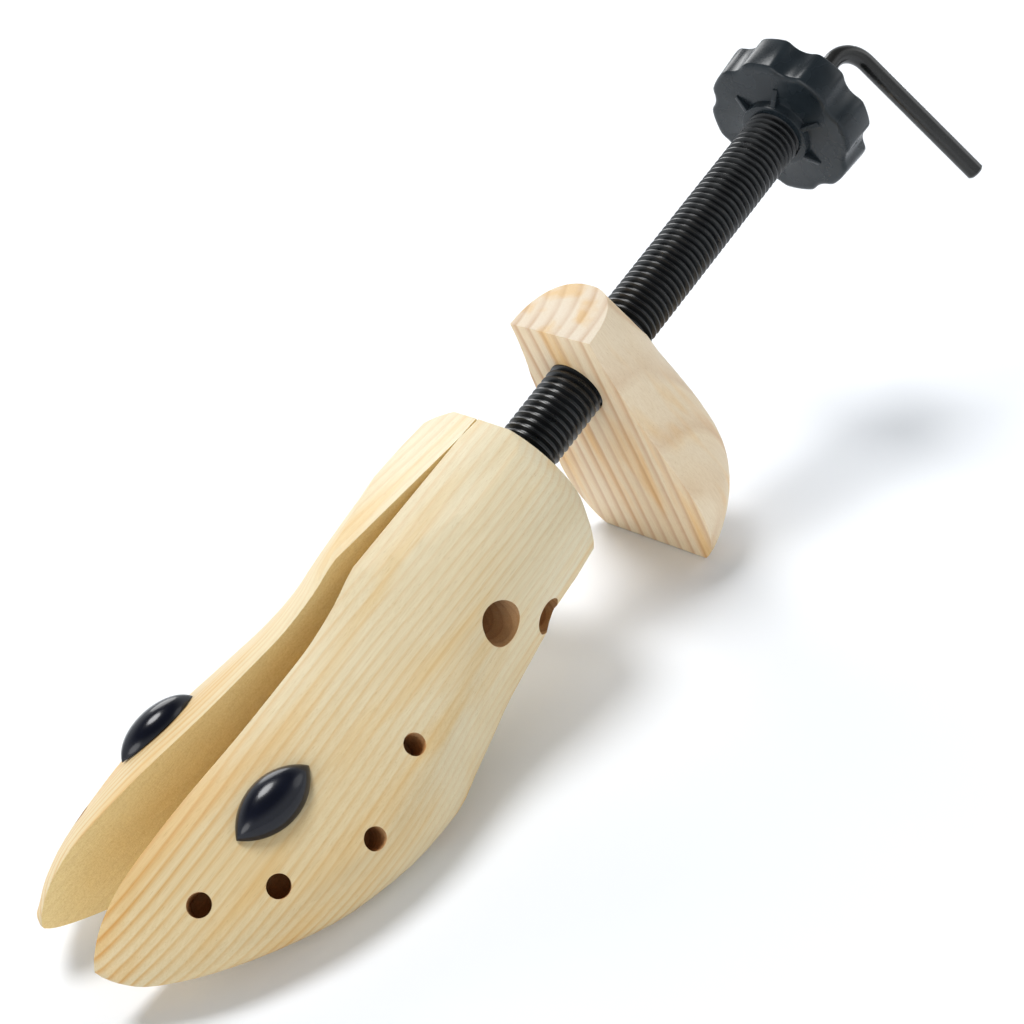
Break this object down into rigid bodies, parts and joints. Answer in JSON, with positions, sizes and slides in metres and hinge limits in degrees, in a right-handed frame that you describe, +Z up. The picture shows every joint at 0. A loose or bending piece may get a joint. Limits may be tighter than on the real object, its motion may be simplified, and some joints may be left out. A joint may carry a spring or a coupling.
{
  "type": "shoe stretcher",
  "caption": "Wooden shoe stretcher: a last split in two halves that a screw rod spreads in width, and a heel block that a threaded sleeve with a knob drives back in length.",
  "frame": {"origin": "on the floor, in the middle of the whole stretcher seen from above", "axes": "+X from the toes to the handle, +Y to the left half, +Z up; the rod lies in the X-Z plane and rises 20 degrees towards +X"},
  "size_m": [0.3962, 0.0964, 0.1475],
  "materials": {
    "pine": "satin",
    "heel_pine": "satin",
    "navy_plastic": "gloss",
    "black_plastic": "satin",
    "black_steel": "satin",
    "bright_steel": "satin",
    "brass": "satin"
  },
  "bodies": {
    "core": {"pivot_collar": "bright_steel", "barrel_nut": "bright_steel", "return_spring": "bright_steel"},
    "sleeve": {"threaded_sleeve": "black_plastic", "knob": "black_plastic", "rod_bush": "black_plastic", "sleeve_washer": "bright_steel", "nose_clip": "bright_steel"},
    "rod": {"spreader_rod": "black_steel", "tip_clip": "bright_steel"},
    "wedge": {"spreader_wedge": "brass"},
    "left_half": {"left_last_half": "pine", "left_ramp_plate": "bright_steel", "left_ramp_screws": "bright_steel", "left_spring_pin": "bright_steel", "left_bunion_plug": "navy_plastic"},
    "right_half": {"right_last_half": "pine", "right_ramp_plate": "bright_steel", "right_ramp_screws": "bright_steel", "right_spring_pin": "bright_steel", "right_bunion_plug": "navy_plastic"},
    "heel": {"heel_block": "heel_pine"}
  },
  "joints": [
    {"name": "wedge_slide", "type": "slide", "parent": "core", "child": "wedge", "axis": [-0.9397, 0, -0.342], "range_m": [-0.01764, 0.01038]},
    {"name": "rod_spin", "type": "hinge", "parent": "wedge", "child": "rod", "pos_m": [-0.02455, 0, 0.059], "axis": [-0.9397, 0, -0.342], "range_deg": [-4997, 2935]},
    {"name": "left_hinge", "type": "hinge", "parent": "core", "child": "left_half", "pos_m": [-0.02455, 0, 0.059], "axis": [0.342, 0, -0.9397], "range_deg": [-4.25, 2.5], "deforming": ["return_spring"]},
    {"name": "right_hinge", "type": "hinge", "parent": "core", "child": "right_half", "pos_m": [-0.02455, 0, 0.059], "axis": [-0.342, 0, 0.9397], "range_deg": [-4.25, 2.5], "deforming": ["return_spring"]},
    {"name": "sleeve_spin", "type": "hinge", "parent": "core", "child": "sleeve", "pos_m": [-0.02455, 0, 0.059], "axis": [-0.9397, 0, -0.342], "range_deg": [-4170, 12240]},
    {"name": "heel_slide", "type": "slide", "parent": "core", "child": "heel", "axis": [0.9397, 0, 0.342], "range_m": [-0.029, 0.0851]}
  ],
  "couplings": [
    {"joint": "wedge_slide", "follows": "rod_spin", "m_per_rad": 0.00020213},
    {"joint": "left_hinge", "follows": "rod_spin", "ratio": 0.00085045},
    {"joint": "right_hinge", "follows": "rod_spin", "ratio": 0.00085045},
    {"joint": "heel_slide", "follows": "sleeve_spin", "m_per_rad": 0.00039789}
  ]
}
